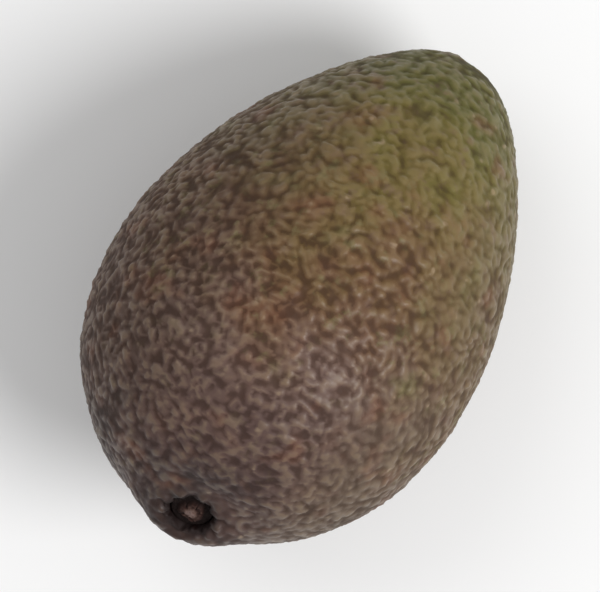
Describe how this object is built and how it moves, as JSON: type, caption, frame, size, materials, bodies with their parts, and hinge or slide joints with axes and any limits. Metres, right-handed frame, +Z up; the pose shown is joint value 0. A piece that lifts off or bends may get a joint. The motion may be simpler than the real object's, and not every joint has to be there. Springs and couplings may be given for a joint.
{
  "type": "avocado",
  "caption": "Whole ripe avocado with dark pebbly skin, lying on a small flat spot, the broad stem end a little raised and a woody stem button in its socket.",
  "frame": {"origin": "middle of the small flat spot that the fruit lies on, on the surface it rests on", "axes": "+X along the fruit towards the stem end, +Y to its side, +Z up from the surface it rests on"},
  "size_m": [0.0921, 0.0635, 0.0635],
  "materials": {
    "skin": "satin, waxy, pebbled",
    "stem_wood": "dry, matt"
  },
  "bodies": {
    "root": {"fruit": "skin", "stem_button": "stem_wood"}
  },
  "joints": []
}
